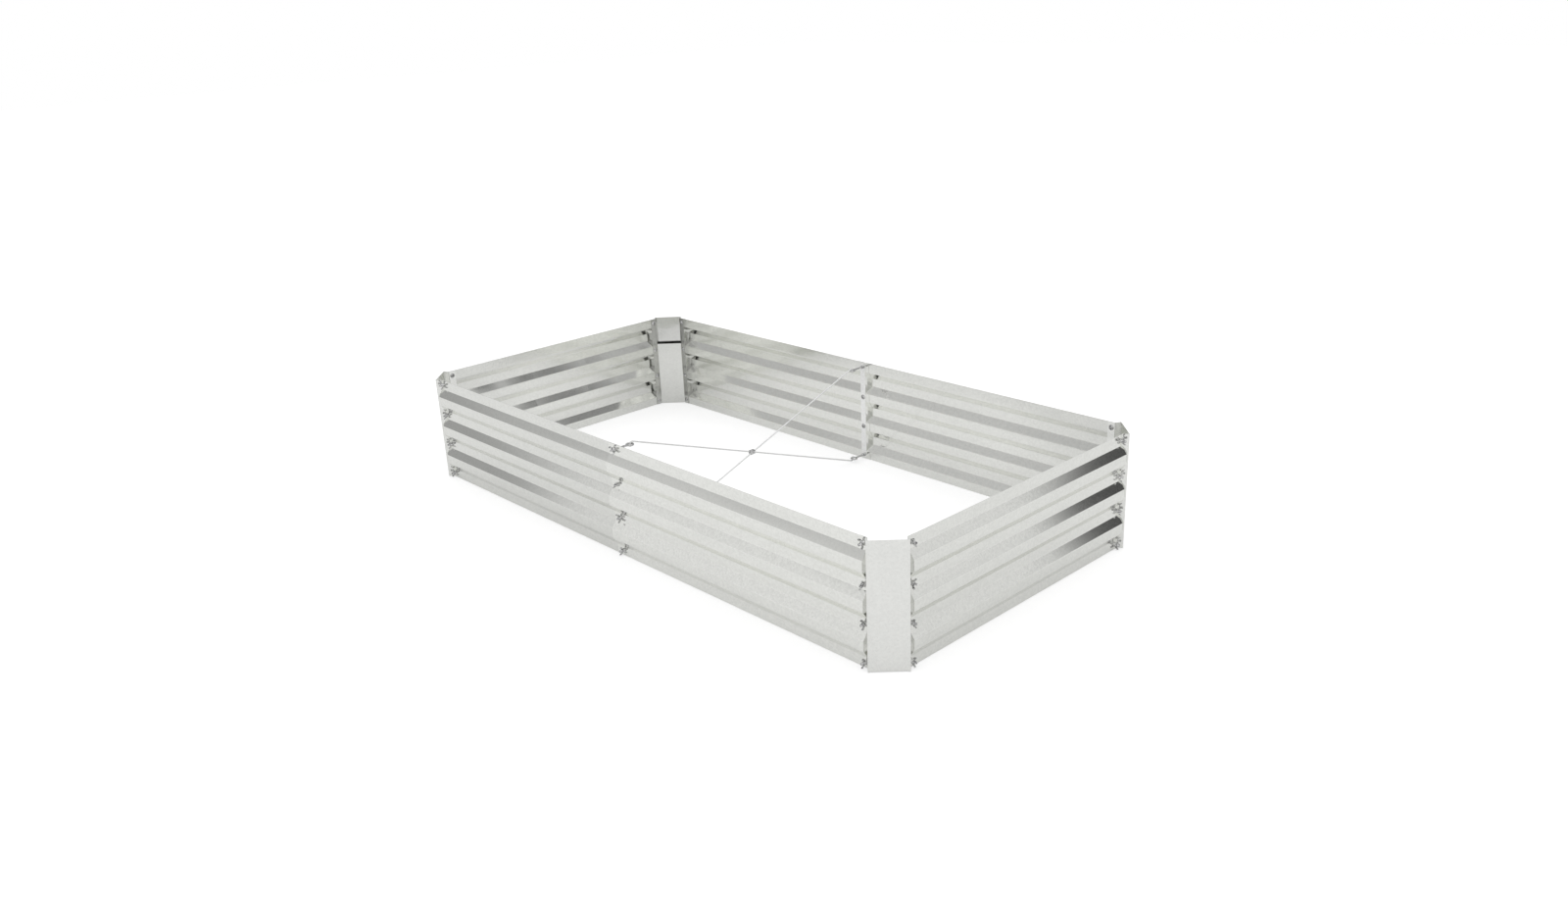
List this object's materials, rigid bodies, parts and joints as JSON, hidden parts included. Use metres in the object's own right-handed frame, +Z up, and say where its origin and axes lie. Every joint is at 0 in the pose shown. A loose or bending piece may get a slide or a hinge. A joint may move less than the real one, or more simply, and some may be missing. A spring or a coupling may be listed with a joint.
{
  "type": "raised garden bed",
  "caption": "Open-bottomed rectangular garden bed of ribbed galvanised steel panels with chamfered bolted corners and crossed tie rods.",
  "frame": {"origin": "on the ground at the middle of the bed's footprint", "axes": "+X along the long sides, +Y from the front long side to the back one, +Z up"},
  "size_m": [1.83, 0.9322, 0.3],
  "materials": {
    "ribbed_panel_sheet": "hot-dip galvanised sheet, fine spangle, satin",
    "corner_post_sheet": "hot-dip galvanised sheet, fine spangle, satin",
    "corner_plate_sheet": "hot-dip galvanised sheet, fine spangle, satin",
    "joint_bar_steel": "galvanised flat bar, satin",
    "tie_rod_steel": "bright zinc-plated wire and bar",
    "clamp_steel": "bright zinc-plated",
    "fastener_zinc": "bright zinc-plated"
  },
  "bodies": {
    "root": {"back_high_tie_rod": "tie_rod_steel", "back_joint_bar": "joint_bar_steel", "back_joint_screws": "fastener_zinc", "back_joint_wing_nuts": "fastener_zinc", "back_left_corner_plate": "corner_plate_sheet", "back_left_corner_post": "corner_post_sheet", "back_left_end_side_screws": "fastener_zinc", "back_left_end_side_wing_nuts": "fastener_zinc", "back_left_long_side_screws": "fastener_zinc", "back_left_long_side_wing_nuts": "fastener_zinc", "back_left_panel": "ribbed_panel_sheet", "back_right_corner_plate": "corner_plate_sheet", "back_right_corner_post": "corner_post_sheet", "back_right_end_side_screws": "fastener_zinc", "back_right_end_side_wing_nuts": "fastener_zinc", "back_right_long_side_screws": "fastener_zinc", "back_right_long_side_wing_nuts": "fastener_zinc", "back_right_panel": "ribbed_panel_sheet", "crossing_clamp": "clamp_steel", "eye_bolt_nuts": "fastener_zinc", "eye_bolts": "tie_rod_steel", "front_high_tie_rod": "tie_rod_steel", "front_joint_bar": "joint_bar_steel", "front_joint_screws": "fastener_zinc", "front_joint_wing_nuts": "fastener_zinc", "front_left_corner_plate": "corner_plate_sheet", "front_left_corner_post": "corner_post_sheet", "front_left_end_side_screws": "fastener_zinc", "front_left_end_side_wing_nuts": "fastener_zinc", "front_left_long_side_screws": "fastener_zinc", "front_left_long_side_wing_nuts": "fastener_zinc", "front_left_panel": "ribbed_panel_sheet", "front_right_corner_plate": "corner_plate_sheet", "front_right_corner_post": "corner_post_sheet", "front_right_end_side_screws": "fastener_zinc", "front_right_end_side_wing_nuts": "fastener_zinc", "front_right_long_side_screws": "fastener_zinc", "front_right_long_side_wing_nuts": "fastener_zinc", "front_right_panel": "ribbed_panel_sheet", "left_end_panel": "ribbed_panel_sheet", "right_end_panel": "ribbed_panel_sheet"}
  },
  "joints": []
}
